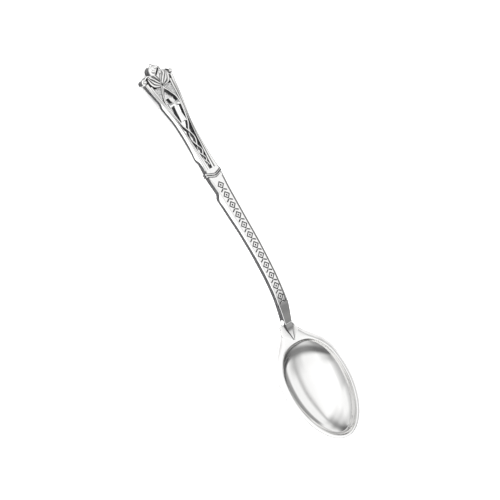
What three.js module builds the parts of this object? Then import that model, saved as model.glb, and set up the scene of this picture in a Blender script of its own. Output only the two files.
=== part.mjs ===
// Souvenir spoon of hand-wrought silver, lying on its back on a table.
// Frame: millimetres, +X towards the bowl's tip, +Y to the spoon's right, +Z up, table at z = 0.
// Handle pieces are drawn in "handle space": x along, y across, and depth below the front face (0 at the
// face, negative inwards). drape() then lifts them onto the handle's bent front line.

import * as THREE from "three";

// Overall
const FINIAL_END_X = -60;
const BOWL_TIP_X = 60;
const HANDLE_THICKNESS = 2.2;
const SEAM = 0.05; // room left for solder between pieces that meet

const CREST_X = 8; // where the handle is highest

// Height of the front face above the table along the handle: [x, z]
const FRONT_LINE = [
  [FINIAL_END_X, 2.2],
  [-55, 2.3],
  [-46, 3.6],
  [-36, 4.5],
  [-23, 5.95],
  [-9, 7.5],
  [1, 8.35],
  [CREST_X, 8.5],
  [14, 8.1],
  [18, 7.3],
  [23.5, 5.3],
];

// Half width of the handle's front: [x, half width]
const HANDLE_HALF_WIDTH = [
  [-55, 5.35],
  [-50, 4.4],
  [-46.5, 3.7],
  [-40.4, 2.53],
  [-36, 2.25],
  [-30, 2.25],
  [-25.6, 2.5],
  [-23.4, 2.65],
  [-18, 2.3],
  [-10, 2.08],
  [0, 1.95],
  [18, 1.75],
];

// Width of a rail with its inner ridge: [x, width]
const RAIL_WIDTH = [
  [-55, 1.9],
  [-50, 1.4],
  [-46.5, 1.15],
  [-40.4, 0.68],
  [-36, 0.9],
  [-30, 1.4],
  [-25.6, 2.05],
];
const RAIL_SHARE = 0.58; // the outer band's share of that width
const RAIL_TOP_X = -54.55;
const RAIL_END_X = -25.6;
const RIDGE_START = 1.05; // how far past the rail's top a ridge starts
const RIDGE_DEPTH = 1.5;
const RIDGE_DROP = 0.12;

// The handle's side walls: how deep they reach below the front, [x, depth], and how far they lean out
const SIDE_DEPTH = [
  [-56, 1.9],
  [-54, 1.65],
  [-52, 1.5],
  [-50, 1.3],
  [-48.4, 1.35],
  [-46.6, 2.1],
  [-32, 2.12],
  [-29.6, 2.2],
  [-27.6, 1.72],
  [-18.4, 1.72],
  [-16.8, 2.2],
  [-4, 2.2],
  [2, 2],
  [18, 1.85],
];
const FLARE = [
  [-31.5, 0],
  [-29.5, 0.14],
  [-27.8, 0],
  [-18.3, 0],
  [-16.4, 0.42],
  [-14, 0.34],
  [-10, 0.22],
  [-7, 0.04],
  [-5, 0],
];
const EASED_EDGE = 0.1; // along the lower edges

// Stem
const FIELD_DEPTH = 0.3;
const BORDER_WIDTH = 0.42;
const STEM_START_X = RAIL_END_X + SEAM;
const STEM_END_X = 17.8;
const FIELD_START_X = -22.6; // the front is flush before this and sunk after it
const BORDER_START_X = -22.45;

// Collar: two pointed mouldings, their points towards the bowl
const COLLAR_POINT_X = -23;
const COLLAR_RISE = 0.95; // how far the ends lie behind the point
const COLLAR_BEND = 1.3; // 1 is a straight-sided point, more is rounder
const COLLAR_HALF_WIDTH = 2.85;
const MOULDING_WIDTH = 0.5;
const MOULDING_EDGE = 0.14; // height of its edges
const MOULDING_HEIGHT = 0.3; // height of its ridge
const MOULDING_SPACING = 0.62;

// Arch and interlace: each strand's path on the left side, [x, y], then crossings on the centre line
const STRAND_PATH = [
  [-51.9, -0.33],
  [-50.7, -1.15],
  [-49.4, -1.75],
  [-48.2, -2.2],
  [-46.8, -2.3],
  [-45.2, -2.18],
  [-43.3, -1.88],
  [-41.4, -1.5],
  [-39.7, -1.02],
];
const CROSSINGS_X = [-37.5, -32.9, -29.7, -27.6];
const STRAND_WIDTH = 0.44;
const STRAND_THICKNESS = 0.62;
const STRAND_MIDDLE = -0.62;
const STRAND_LIFT = 0.4; // each strand rises and sinks by this much to pass its partner
const STRAND_END_X = -26.4;
const FIRST_SWING = 1.02; // how far from the centre line a strand starts towards its first crossing
const LARGEST_SWING = 0.62;
const SWING_CLEARANCE = 0.3; // from the ridges
const SWING_CURVE = 1.3; // how the first swing closes in: 1 is straight
const LIFT_LENGTH = 3; // the run over which a strand rises to its first crossing

// Plates between the arch and the ridges
const SPANDREL_TOP_X = -52.4;
const SPANDREL_FOOT_X = -47.6;
const SPANDREL_FRONT = -0.4;
const SPANDREL_BACK = -1.3;
const SPANDREL_GAP = 0.16; // from the strand

// Cross
const CROSS_X = -46.5;
const CROSS_TOP = 2.1;
const CROSS_FOOT = 5.7;
const CROSS_ARM = 1.98;
const CROSS_WAIST = 0.42; // half width where the arms meet
const CROSS_FLARE = 0.72; // half width at the ends of the arms
const CROSS_FOOT_FLARE = 1.02;
const CROSS_DEPTH = 1.5;
const CROSS_RISE = 0.1;

// Finial
const BALL_X = -55.4;
const BALL_Y = 4.95;
const BALL_RADIUS = 0.75;
const BALL_DROP = 0.24; // its middle below the front
const SCROLL_WIDTH = 0.2;
const LEAF_DEPTH = 1.5;
const LEAF_RISE = 0.28;
const BUD_DEPTH = 1.9;
const BUD_RISE = 0.45;
const LOBE_HEIGHT = 0.3;
const KNOB_RADIUS = 0.9;
const KNOB_TIP_TURN = 0.1; // the knob's small flat tip, as an angle from its axis
const KNOB_CUT_X = -58.9; // where the knob is cut flat to sit on the bud
const KNOB_HEIGHT = 1.1;

// Outlines of the left leaf and of the left half of the bud: [x, y]
const LEAF_OUTLINE = [
  [-56.2, -3.5],
  [-56.7, -3.1],
  [-56.6, -2.25],
  [-55.9, -2.02],
  [-55, -1.28],
  [-53.95, -0.43],
  [-53.35, -0.14],
  [-52.55, -0.14],
  [-52.65, -1.8],
  [-53.15, -2.95],
  [-54.15, -3.6],
  [-55.5, -3.72],
];

const BUD_OUTLINE = [
  [-58.85, -1.25],
  [-58.4, -1.8],
  [-57.9, -2.1],
  [-57.1, -2.16],
  [-56.2, -1.92],
  [-55, -1.12],
  [-53.9, -0.26],
  [-53.6, 0],
];

// The bud's lobes: place, direction, length and width
const LOBES = {
  left: [-57.25, -0.95, 0.44, 1.7, 1.15],
  right: [-56.45, 0.95, -0.52, 1.45, 0.95],
  upper: [-58.05, 0.35, 1.4, 1.4, 0.9],
};

// Bowl
const BOWL_CENTRE_X = 42.5;
const BOWL_HALF_WIDTH = 11.75;
const BOWL_POINTS = 48; // round its outline
const NECK_END_X = 23.6;
const BASIN_CENTRE_X = 43;
const BASIN_BACK_X = 29.6;
const BASIN_TIP_X = 59.1;
const BASIN_HALF_WIDTH = 10.4;
const RIM_HEIGHT = 5.5; // at x = RIM_HEIGHT_X
const RIM_HEIGHT_X = 44;
const RIM_SLOPE = 0.0946;
const RIM_EDGE = 0.35;
const FLOOR_THICKNESS = 0.85;
const FOOT_SHARE = 0.2; // the flat under the bowl, as a share of its outline
const SHOULDER = [
  [NECK_END_X, 2.3],
  [26.3, 3.8],
  [28.9, 6.3],
  [32.3, 9.5],
  [36, 11.2],
  [BOWL_CENTRE_X, BOWL_HALF_WIDTH],
];
// How square the curves are: 2 is an ellipse, more is fuller
const TIP_SQUARENESS = 1.95;
const BASIN_TIP_SQUARENESS = 1.9;
const BASIN_BACK_SQUARENESS = 2.35;
const OUTER_SQUARENESS = 2;
const INNER_SQUARENESS = 2.4;
const BASIN_MIDDLE_SHARE = 0.08; // the basin's innermost ring, as a share of its outline

// Neck: half widths of its front and back and its thickness, at the stem and at the bowl
const NECK_FRONT_HALF = [1.75, 1.22];
const NECK_BACK_HALF = [1.76, 1.6];
const NECK_THICKNESS = [1.85, 1.7];

// Tongue: half width of its ridge and of its base, and its height, along x
const TONGUE_TIP_X = 28.7;
const TONGUE_RIDGE_HALF = [
  [NECK_END_X, 1.2],
  [25.2, 0.95],
  [26.6, 0.5],
  [TONGUE_TIP_X, 0.06],
];
const TONGUE_BASE_HALF = [
  [NECK_END_X, 2.15],
  [26.2, 3.2],
  [27.4, 1.9],
  [TONGUE_TIP_X, 0.12],
];
const TONGUE_HEIGHT = [
  [NECK_END_X, 5.25],
  [25.2, 4.6],
  [26.6, 4.32],
  [TONGUE_TIP_X, 4.2],
];

// --- Curves -----------------------------------------------------------------------------------------

// A smooth function through knots [x, value] that doesn't overshoot them.
function through(knots) {
  const slopes = knots.map((knot, i) => {
    if (i === 0 || i === knots.length - 1) return null;
    const before = (knot[1] - knots[i - 1][1]) / (knot[0] - knots[i - 1][0]);
    const after = (knots[i + 1][1] - knot[1]) / (knots[i + 1][0] - knot[0]);
    return before * after <= 0 ? 0 : (2 * before * after) / (before + after);
  });
  return (x) => {
    const inside = Math.min(Math.max(x, knots[0][0]), knots[knots.length - 1][0]);
    const next = knots.findIndex((knot, i) => i > 0 && inside <= knot[0]);
    const [x0, y0] = knots[next - 1];
    const [x1, y1] = knots[next];
    const span = x1 - x0;
    const chord = (y1 - y0) / span;
    const m0 = slopes[next - 1] ?? chord;
    const m1 = slopes[next] ?? chord;
    const t = (inside - x0) / span;
    const from = (1 + 2 * t) * (1 - t) ** 2 * y0 + t * (1 - t) ** 2 * span * m0;
    const to = t * t * (3 - 2 * t) * y1 + t * t * (t - 1) * span * m1;
    return from + to;
  };
}

const frontHeight = through(FRONT_LINE);
const handleHalf = through(HANDLE_HALF_WIDTH);
const railWidth = through(RAIL_WIDTH);
const sideDepth = through(SIDE_DEPTH);
const flare = through(FLARE);
const shoulderHalf = through(SHOULDER);
const rimHeight = (x) => RIM_HEIGHT + RIM_SLOPE * (x - RIM_HEIGHT_X);

function steps(from, to, count) {
  return Array.from({ length: count + 1 }, (_, i) => from + ((to - from) * i) / count);
}

// Even steps on either side of the handle's crest, with one on the crest itself.
function throughCrest(from, to, count) {
  const before = Math.round((count * (CREST_X - from)) / (to - from));
  return [...steps(from, CREST_X, before), ...steps(CREST_X, to, count - before).slice(1)];
}

// --- Solids -----------------------------------------------------------------------------------------

// Turns a closed mesh's faces outwards.
function facingOut(geometry) {
  const p = geometry.getAttribute("position");
  const index = geometry.getIndex().array;
  const [a, b, c] = [new THREE.Vector3(), new THREE.Vector3(), new THREE.Vector3()];
  let volume = 0;
  for (let i = 0; i < index.length; i += 3) {
    a.fromBufferAttribute(p, index[i]);
    b.fromBufferAttribute(p, index[i + 1]);
    c.fromBufferAttribute(p, index[i + 2]);
    volume += a.dot(b.cross(c));
  }
  if (volume < 0) index.reverse();
  return geometry;
}

// A closed solid through rings of points, each end closed by a fan round its middle.
function loft(rings) {
  const count = rings[0].length;
  const middle = (ring) =>
    ring.reduce((sum, p) => sum.add(p), new THREE.Vector3()).divideScalar(count);
  const points = [...rings.flat(), middle(rings[0]), middle(rings[rings.length - 1])];
  const index = [];
  const lastRing = (rings.length - 1) * count;
  for (let k = 0; k < count; k += 1) {
    const next = (k + 1) % count;
    for (let start = 0; start < lastRing; start += count) {
      index.push(start + k, start + next, start + count + next);
      index.push(start + k, start + count + next, start + count + k);
    }
    index.push(points.length - 2, next, k);
    index.push(points.length - 1, lastRing + k, lastRing + next);
  }
  return facingOut(new THREE.BufferGeometry().setFromPoints(points).setIndex(index));
}

// A bar along a path in handle space, its section square to the path: section(x) gives [across, depth].
function barAlong(path, section) {
  return loft(
    path.map((point, i) => {
      const ahead = path[Math.min(i + 1, path.length - 1)];
      const behind = path[Math.max(i - 1, 0)];
      const along = new THREE.Vector2(ahead[0] - behind[0], ahead[1] - behind[1]).normalize();
      return section(point[0]).map(
        ([across, depth]) =>
          new THREE.Vector3(point[0] - along.y * across, point[1] + along.x * across, depth),
      );
    }),
  );
}

const rectangle = (halfWidth, top, bottom) => [
  [-halfWidth, bottom],
  [halfWidth, bottom],
  [halfWidth, top],
  [-halfWidth, top],
];

// A plate cut to an outline in handle space, between two depths.
function plate(outline, bottom, top) {
  const shape = new THREE.Shape(outline.map(([x, y]) => new THREE.Vector2(x, y)));
  const geometry = new THREE.ExtrudeGeometry(shape, { depth: top - bottom, bevelEnabled: false });
  return geometry.translate(0, 0, bottom);
}

// A low dome of unit radius standing on the plane z = 0.
function dome(height) {
  const arc = steps(0, Math.PI / 2, 4).map(
    (angle) => new THREE.Vector2(Math.cos(angle), height * Math.sin(angle)),
  );
  arc[arc.length - 1].x = 0;
  return new THREE.LatheGeometry([new THREE.Vector2(0, 0), ...arc], 14).rotateX(Math.PI / 2);
}

// Lifts a piece from handle space onto the bent front line.
function drape(geometry) {
  const p = geometry.getAttribute("position");
  for (let i = 0; i < p.count; i += 1) p.setZ(i, p.getZ(i) + frontHeight(p.getX(i)));
  return geometry;
}

// The same piece on the other side of the spoon.
function mirrored(geometry) {
  const copy = geometry.clone().scale(1, -1, 1);
  const flipped = copy.index ? copy.toNonIndexed() : copy;
  const p = flipped.getAttribute("position");
  const [a, b] = [new THREE.Vector3(), new THREE.Vector3()];
  for (let i = 0; i < p.count; i += 3) {
    a.fromBufferAttribute(p, i + 1);
    b.fromBufferAttribute(p, i + 2);
    p.setXYZ(i + 1, b.x, b.y, b.z);
    p.setXYZ(i + 2, a.x, a.y, a.z);
  }
  return flipped;
}

// --- Bowl, neck and stem ----------------------------------------------------------------------------

// A point of an egg outline at an angle from the tip; squareness 2 is an ellipse.
function eggPoint(angle, centreX, reach, halfWidth, squareness) {
  const power = 2 / squareness;
  const along = Math.sign(Math.cos(angle)) * Math.abs(Math.cos(angle)) ** power;
  const across = Math.sign(Math.sin(angle)) * Math.abs(Math.sin(angle)) ** power;
  return new THREE.Vector2(centreX + reach * along, halfWidth * across);
}

function bowlOutline(angle) {
  if (Math.cos(angle) >= 0)
    return eggPoint(angle, BOWL_CENTRE_X, BOWL_TIP_X - BOWL_CENTRE_X, BOWL_HALF_WIDTH, TIP_SQUARENESS);
  const x = BOWL_CENTRE_X + (BOWL_CENTRE_X - NECK_END_X) * Math.cos(angle);
  const side = Math.abs(Math.sin(angle)) < 1e-9 ? 0 : Math.sign(Math.sin(angle));
  return new THREE.Vector2(x, side * shoulderHalf(x));
}

function basinEdge(angle) {
  const reach = Math.cos(angle) >= 0 ? BASIN_TIP_X - BASIN_CENTRE_X : BASIN_CENTRE_X - BASIN_BACK_X;
  const squareness = Math.cos(angle) >= 0 ? BASIN_TIP_SQUARENESS : BASIN_BACK_SQUARENESS;
  return eggPoint(angle, BASIN_CENTRE_X, reach, BASIN_HALF_WIDTH, squareness);
}

// How far down a wall lies, from 0 at the rim (share 1) to 1 at the middle (share 0).
const sag = (share, power) => (1 - share ** power) ** (1 / power);

function bowl() {
  const angles = steps(0, 2 * Math.PI, BOWL_POINTS).slice(0, -1);
  const ring = (edge, share, height) =>
    angles.map((angle) => {
      const middle = new THREE.Vector2(BASIN_CENTRE_X, 0);
      const p = middle.clone().lerp(edge(angle), share);
      return new THREE.Vector3(p.x, p.y, height(p.x));
    });
  const outside = steps(0, Math.PI / 2, 6).map((turn) => {
    const rise = Math.sin(turn);
    const share = FOOT_SHARE + (1 - FOOT_SHARE) * rise;
    return ring(bowlOutline, share, (x) => (rimHeight(x) - RIM_EDGE) * (1 - sag(rise, OUTER_SQUARENESS)));
  });
  const inside = steps(0, Math.PI / 2, 7).map((turn) => {
    const share = Math.max(Math.cos(turn), BASIN_MIDDLE_SHARE);
    const drop = (x) => (rimHeight(x) - FLOOR_THICKNESS) * sag(share, INNER_SQUARENESS);
    return ring(basinEdge, share, (x) => rimHeight(x) - drop(x));
  });
  return loft([...outside, ring(bowlOutline, 1, rimHeight), ...inside]);
}

// A bar whose front and back differ in width; the neck bends down and narrows towards the bowl.
function neck() {
  const start = STEM_END_X + SEAM;
  const end = NECK_END_X - SEAM;
  return loft(
    steps(start, end, 6).map((x) => {
      const t = (x - start) / (end - start);
      const front = THREE.MathUtils.lerp(...NECK_FRONT_HALF, t);
      const back = THREE.MathUtils.lerp(...NECK_BACK_HALF, t);
      const top = frontHeight(x);
      const bottom = top - THREE.MathUtils.lerp(...NECK_THICKNESS, t);
      return [
        new THREE.Vector3(x, -back, bottom),
        new THREE.Vector3(x, back, bottom),
        new THREE.Vector3(x, front, top),
        new THREE.Vector3(x, -front, top),
      ];
    }),
  );
}

function tongue() {
  const ridgeHalf = through(TONGUE_RIDGE_HALF);
  const baseHalf = through(TONGUE_BASE_HALF);
  const height = through(TONGUE_HEIGHT);
  return loft(
    steps(NECK_END_X, TONGUE_TIP_X, 8).map((x) => {
      const base = rimHeight(x) + SEAM;
      return [
        new THREE.Vector3(x, -baseHalf(x), base),
        new THREE.Vector3(x, baseHalf(x), base),
        new THREE.Vector3(x, ridgeHalf(x), height(x)),
        new THREE.Vector3(x, -ridgeHalf(x), height(x)),
      ];
    }),
  );
}

function stemBar() {
  const flush = steps(STEM_START_X, FIELD_START_X - SEAM, 2);
  const sunk = throughCrest(FIELD_START_X, STEM_END_X, 34);
  return drape(
    barAlong([...flush, ...sunk].map((x) => [x, 0]), (x) => {
      const half = handleHalf(x);
      const foot = half + flare(x);
      const back = -sideDepth(x);
      const front = x < FIELD_START_X ? 0 : -FIELD_DEPTH;
      return [
        [-foot + EASED_EDGE, back],
        [foot - EASED_EDGE, back],
        [foot, back + EASED_EDGE],
        [half, front],
        [-half, front],
        [-foot, back + EASED_EDGE],
      ];
    }),
  );
}

function stemBorderLeft() {
  const path = throughCrest(BORDER_START_X, STEM_END_X, 22).map((x) => [
    x,
    -handleHalf(x) + BORDER_WIDTH / 2,
  ]);
  return drape(barAlong(path, () => rectangle(BORDER_WIDTH / 2, 0, -FIELD_DEPTH + SEAM)));
}

function collarMoulding(pointX) {
  const path = [-1, -0.5, 0, 0.5, 1].map((share) => [
    pointX - COLLAR_RISE * Math.abs(share) ** COLLAR_BEND,
    share * COLLAR_HALF_WIDTH,
  ]);
  const half = MOULDING_WIDTH / 2;
  return drape(
    barAlong(path, () => [
      [-half, SEAM],
      [half, SEAM],
      [half, SEAM + MOULDING_EDGE],
      [0, SEAM + MOULDING_HEIGHT],
      [-half, SEAM + MOULDING_EDGE],
    ]),
  );
}

// --- Openwork ---------------------------------------------------------------------------------------

function railLeft() {
  const path = steps(RAIL_TOP_X, RAIL_END_X, 30).map((x) => [
    x,
    -handleHalf(x) + (railWidth(x) * RAIL_SHARE) / 2,
  ]);
  return drape(
    barAlong(path, (x) => {
      const half = (railWidth(x) * RAIL_SHARE) / 2;
      const foot = half + flare(x);
      const back = -sideDepth(x);
      return [
        [-foot + EASED_EDGE, back],
        [half, back],
        [half, 0],
        [-half, 0],
        [-foot, back + EASED_EDGE],
      ];
    }),
  );
}

function ridgeLeft() {
  const width = (x) => railWidth(x) * (1 - RAIL_SHARE) - 2 * SEAM;
  const path = steps(RAIL_TOP_X + RIDGE_START, RAIL_END_X, 24).map((x) => [
    x,
    -handleHalf(x) + railWidth(x) - width(x) / 2 - SEAM,
  ]);
  return drape(
    barAlong(path, (x) => rectangle(width(x) / 2, -RIDGE_DROP, -Math.min(RIDGE_DEPTH, sideDepth(x)))),
  );
}

// Half of the clear width between the ridges.
const openHalf = (x) => handleHalf(x) - railWidth(x);

// Where the left strand runs: down its side of the cross, then from side to side over the crossings.
function strandPath() {
  const legs = new THREE.SplineCurve(STRAND_PATH.map(([x, y]) => new THREE.Vector2(x, y)));
  const arch = legs.getPoints(24).map((p) => [p.x, p.y]);
  const gate = [STRAND_PATH[STRAND_PATH.length - 1][0], ...CROSSINGS_X, STRAND_END_X];
  const weave = [];
  for (let i = 0; i + 1 < gate.length; i += 1) {
    const side = i % 2 === 0 ? -1 : 1;
    const clear = openHalf((gate[i] + gate[i + 1]) / 2) - SWING_CLEARANCE;
    const swing = i === 0 ? FIRST_SWING : Math.min(clear, LARGEST_SWING);
    steps(gate[i], gate[i + 1], 6).slice(1).forEach((x) => {
      const t = (x - gate[i]) / (gate[i + 1] - gate[i]);
      const arc = i === gate.length - 2 ? Math.PI / 2 : Math.PI;
      const bulge = i === 0 ? 1 - t ** SWING_CURVE : Math.sin(arc * t);
      weave.push([x, side * swing * bulge]);
    });
  }
  return [...arch, ...weave];
}

// How high the left strand rides at x: up over its partner at one crossing, down under it at the next.
function strandLift(x) {
  const first = CROSSINGS_X[0];
  if (x < first) return Math.max(1 - (first - x) / LIFT_LENGTH, 0);
  const next = CROSSINGS_X.findIndex((crossing) => x < crossing);
  if (next < 0) {
    const last = CROSSINGS_X.length - 1;
    return last % 2 === 0 ? 1 : -1;
  }
  const t = (x - CROSSINGS_X[next - 1]) / (CROSSINGS_X[next] - CROSSINGS_X[next - 1]);
  return Math.cos(Math.PI * t) * (next % 2 === 1 ? 1 : -1);
}

function strand(lift) {
  const path = strandPath();
  return drape(
    barAlong(path, (x) => {
      const middle = STRAND_MIDDLE + STRAND_LIFT * lift * strandLift(x);
      return rectangle(STRAND_WIDTH / 2, middle + STRAND_THICKNESS / 2, middle - STRAND_THICKNESS / 2);
    }),
  );
}

function cross() {
  const half = [
    [CROSS_X - CROSS_TOP, 0],
    [CROSS_X - CROSS_TOP, CROSS_FLARE],
    [CROSS_X - CROSS_WAIST, CROSS_WAIST],
    [CROSS_X - CROSS_FLARE, CROSS_ARM],
    [CROSS_X + CROSS_FLARE, CROSS_ARM],
    [CROSS_X + CROSS_WAIST, CROSS_WAIST],
    [CROSS_X + CROSS_FOOT, CROSS_FOOT_FLARE],
    [CROSS_X + CROSS_FOOT, 0],
  ];
  const outline = [...half.slice(1, -1), ...half.slice(1, -1).reverse().map(([x, y]) => [x, -y])];
  return drape(plate(outline, -CROSS_DEPTH, CROSS_RISE));
}

function spandrelLeft() {
  const legs = new THREE.SplineCurve(STRAND_PATH.map(([x, y]) => new THREE.Vector2(x, y)));
  const inner = legs
    .getPoints(24)
    .filter((p) => p.x < SPANDREL_FOOT_X)
    .map((p) => [p.x - SPANDREL_GAP, p.y - STRAND_WIDTH / 2 - SPANDREL_GAP]);
  const outer = steps(SPANDREL_FOOT_X, SPANDREL_TOP_X, 5).map((x) => [x, -openHalf(x) + SEAM]);
  return drape(plate([[SPANDREL_TOP_X, inner[0][1]], ...inner, ...outer], SPANDREL_BACK, SPANDREL_FRONT));
}

// --- Finial -----------------------------------------------------------------------------------------

const leafLeft = () => drape(plate(LEAF_OUTLINE, -LEAF_DEPTH, LEAF_RISE));

function bud() {
  const other = BUD_OUTLINE.slice(0, -1).reverse().map(([x, y]) => [x, -y]);
  return drape(plate([...BUD_OUTLINE, ...other], -BUD_DEPTH, BUD_RISE));
}

function budLobe([x, y, angle, length, width]) {
  const lobe = dome(LOBE_HEIGHT).scale(length / 2, width / 2, 1).rotateZ(angle);
  return lobe.translate(x, y, frontHeight(x) + BUD_RISE + SEAM);
}

function ballLeft() {
  const ball = new THREE.SphereGeometry(BALL_RADIUS, 14, 10);
  return ball.translate(BALL_X, -BALL_Y, frontHeight(BALL_X) - BALL_DROP);
}

function scrollLeft() {
  const inner = BALL_RADIUS + SEAM;
  const outer = inner + SCROLL_WIDTH;
  const shape = new THREE.Shape();
  const from = 0.5 * Math.PI;
  const to = 1.5 * Math.PI;
  shape.absarc(BALL_X, -BALL_Y, outer, from, to, false);
  shape.absarc(BALL_X, -BALL_Y, inner, to, from, true);
  const geometry = new THREE.ExtrudeGeometry(shape, {
    depth: HANDLE_THICKNESS,
    bevelEnabled: false,
    curveSegments: 12,
  });
  return drape(geometry.translate(0, 0, -HANDLE_THICKNESS));
}

function capKnob() {
  const middleX = FINIAL_END_X + KNOB_RADIUS * Math.cos(KNOB_TIP_TURN);
  const sides = steps(0, 2 * Math.PI, 14).slice(0, -1);
  const last = Math.acos((middleX - KNOB_CUT_X) / KNOB_RADIUS);
  return loft(
    steps(KNOB_TIP_TURN, last, 6).map((turn) => {
      const radius = KNOB_RADIUS * Math.sin(turn);
      const x = middleX - KNOB_RADIUS * Math.cos(turn);
      return sides.map(
        (angle) => new THREE.Vector3(x, radius * Math.cos(angle), KNOB_HEIGHT + radius * Math.sin(angle)),
      );
    }),
  );
}

// --- Assembly ---------------------------------------------------------------------------------------

const SILVER = { color: 0xd9dbdc, metalness: 1, roughness: 0.18 };
const OXIDISED = { color: 0x54565a, metalness: 1, roughness: 0.5 };

const spoon = new THREE.Group();
spoon.name = "souvenir_spoon";

function add(name, geometry, finish = SILVER) {
  const mesh = new THREE.Mesh(geometry, new THREE.MeshStandardMaterial(finish));
  mesh.name = name;
  spoon.add(mesh);
}

function addPair(name, geometry, finish = SILVER) {
  add(`${name}_left`, geometry, finish);
  add(`${name}_right`, mirrored(geometry), finish);
}

add("bowl", bowl());
add("neck", neck());
add("tongue", tongue());
add("stem_bar", stemBar());
addPair("stem_border", stemBorderLeft());
add("collar_upper", collarMoulding(COLLAR_POINT_X - MOULDING_SPACING));
add("collar_lower", collarMoulding(COLLAR_POINT_X));
addPair("rail", railLeft());
addPair("ridge", ridgeLeft());
add("strand_left", strand(1));
add("strand_right", mirrored(strand(-1)));
add("cross", cross());
addPair("spandrel", spandrelLeft(), OXIDISED);
addPair("leaf", leafLeft());
addPair("scroll", scrollLeft());
addPair("ball", ballLeft());
add("bud", bud());
add("bud_lobe_left", budLobe(LOBES.left));
add("bud_lobe_right", budLobe(LOBES.right));
add("bud_lobe_upper", budLobe(LOBES.upper));
add("cap_knob", capKnob());

export default spoon;
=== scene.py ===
"""A souvenir spoon of polished silver, lying on its back on a pale table.

Shapes are worked out in millimetres and written to the meshes in metres. Handle pieces are drawn in
"handle space": x along the spoon, y across, and depth below the front face (0 at the face, negative
inwards); drape() lifts them onto the handle's bent front line, as in the CAD model.
"""
import math

import bmesh
import bpy
import numpy as np
from mathutils import Matrix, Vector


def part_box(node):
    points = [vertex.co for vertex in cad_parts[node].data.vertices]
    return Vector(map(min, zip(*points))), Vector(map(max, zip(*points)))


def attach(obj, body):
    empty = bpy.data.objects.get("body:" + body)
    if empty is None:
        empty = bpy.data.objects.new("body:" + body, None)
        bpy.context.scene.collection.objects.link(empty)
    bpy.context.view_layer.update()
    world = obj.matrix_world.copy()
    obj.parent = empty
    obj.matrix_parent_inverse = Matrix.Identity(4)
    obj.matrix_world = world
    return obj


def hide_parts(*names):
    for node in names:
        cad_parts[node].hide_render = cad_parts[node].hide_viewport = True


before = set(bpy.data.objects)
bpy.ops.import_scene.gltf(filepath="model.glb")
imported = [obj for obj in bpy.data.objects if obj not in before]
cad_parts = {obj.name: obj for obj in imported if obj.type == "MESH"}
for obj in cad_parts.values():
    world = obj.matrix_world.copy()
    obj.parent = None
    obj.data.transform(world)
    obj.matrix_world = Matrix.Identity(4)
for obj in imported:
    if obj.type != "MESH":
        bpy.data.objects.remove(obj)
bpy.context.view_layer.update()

MM = 0.001


def cad_mm(node):
    """A CAD node's lowest and highest corners, in millimetres."""
    low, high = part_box(node)
    return np.array(low) / MM, np.array(high) / MM


# --- Sizes, in millimetres --------------------------------------------------------------------------

FINIAL_END_X = -60
TIP_X = 60
THICKNESS = 2.2

# The side walls of the handle from face to back: how deep they reach, how far they lean outwards, and
# how deep the painted dark reflection on them starts.
SIDE_DEPTH = [
    (-60, 2.0), (-56, 1.9), (-54, 1.65), (-52, 1.5), (-50, 1.3), (-48.4, 1.35), (-46.6, 2.1), (-32, 2.12),
    (-29.6, 2.2), (-27.6, 1.72), (-18.4, 1.72), (-16.8, 2.25), (-8, 2.25), (-4, 2.2), (2, 2.0), (18, 1.85),
]
FLARE = [
    (-60, 0), (-31.5, 0), (-29.5, 0.14), (-27.8, 0), (-18.3, 0), (-16.4, 0.42), (-14, 0.34), (-10, 0.22),
    (-7, 0.04), (-5, 0), (18, 0),
]
PAINTED_REFLECTION_TOP = [
    (-60, 0.05), (-48.5, 0.05), (-46.4, 1.0), (-34, 1.02), (-32, 1.22), (-30, 1.4), (-28, 0.4), (-26.4, 0.05),
    (-18.5, 0.05), (-16, 1.2), (-14, 1.1), (-10, 1.0), (-6, 0.85), (0, 0.62), (4, 0.4), (10, 0.28), (18, 0.2),
]
# Strength of the painted dark reflection on the handle's side walls.
SIDE_PAINTED_REFLECTION = 0.965
BACK_EDGE = 0.12  # how far the painted dark reflection of the sides runs onto the back

FRONT_LINE = [
    (FINIAL_END_X, 2.2), (-55, 2.3), (-46, 3.6), (-36, 4.5), (-23, 5.95),
    (-9, 7.5), (1, 8.35), (8, 8.5), (14, 8.1), (18, 7.3), (23.5, 5.3),
]
HANDLE_HALF_WIDTH = [
    (-55, 5.35), (-50, 4.4), (-46.5, 3.7), (-40.4, 2.53), (-36, 2.25), (-30, 2.25),
    (-25.6, 2.5), (-23.4, 2.65), (-18, 2.3), (-10, 2.08), (0, 1.95), (18, 1.75),
]
RAIL_WIDTH = [
    (-55, 1.9), (-50, 1.4), (-46.5, 1.15), (-40.4, 0.68), (-36, 0.9), (-30, 1.4), (-25.6, 2.05),
]
RAIL_SHARE = 0.58

STEM_START_X = cad_mm("stem_bar")[0][0]
STEM_END_X = cad_mm("stem_bar")[1][0]
FIELD_DEPTH = 0.3
FIELD_START_X = cad_mm("stem_border_left")[0][0]
BORDER_WIDTH = 0.42
ENGRAVING_DEPTH = 0.2

COLLAR_POINT_X = -23.0
COLLAR_RISE = 0.95
COLLAR_HALF_WIDTH = 2.85
MOULDING_SPACING = 0.62
COLLAR_BEND = 1.3  # 1 is a straight-sided point, more is rounder

STRAND_PATH = [
    (-52.5, -0.28), (-51.9, -0.4), (-50.7, -1.15), (-49.4, -1.75), (-48.2, -2.2), (-46.8, -2.3),
    (-45.2, -2.18), (-43.3, -1.88), (-41.4, -1.5), (-39.7, -1.02),
]
CROSSINGS_X = [-37.5, -32.9, -29.7, -27.6]
STRAND_END_X = -25.7
STRAND_WIDTH = 0.44
STRAND_LIFT = 0.42

CROSS_X = -46.5
CROSS_TOP = 2.1
CROSS_FOOT = 5.7
CROSS_ARM = 1.98

BALL_X = -55.4
BALL_Y = 4.95
BALL_RADIUS = 0.75
BALL_DROP = 0.24  # its middle below the front
KNOB_RADIUS = 0.9

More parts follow.
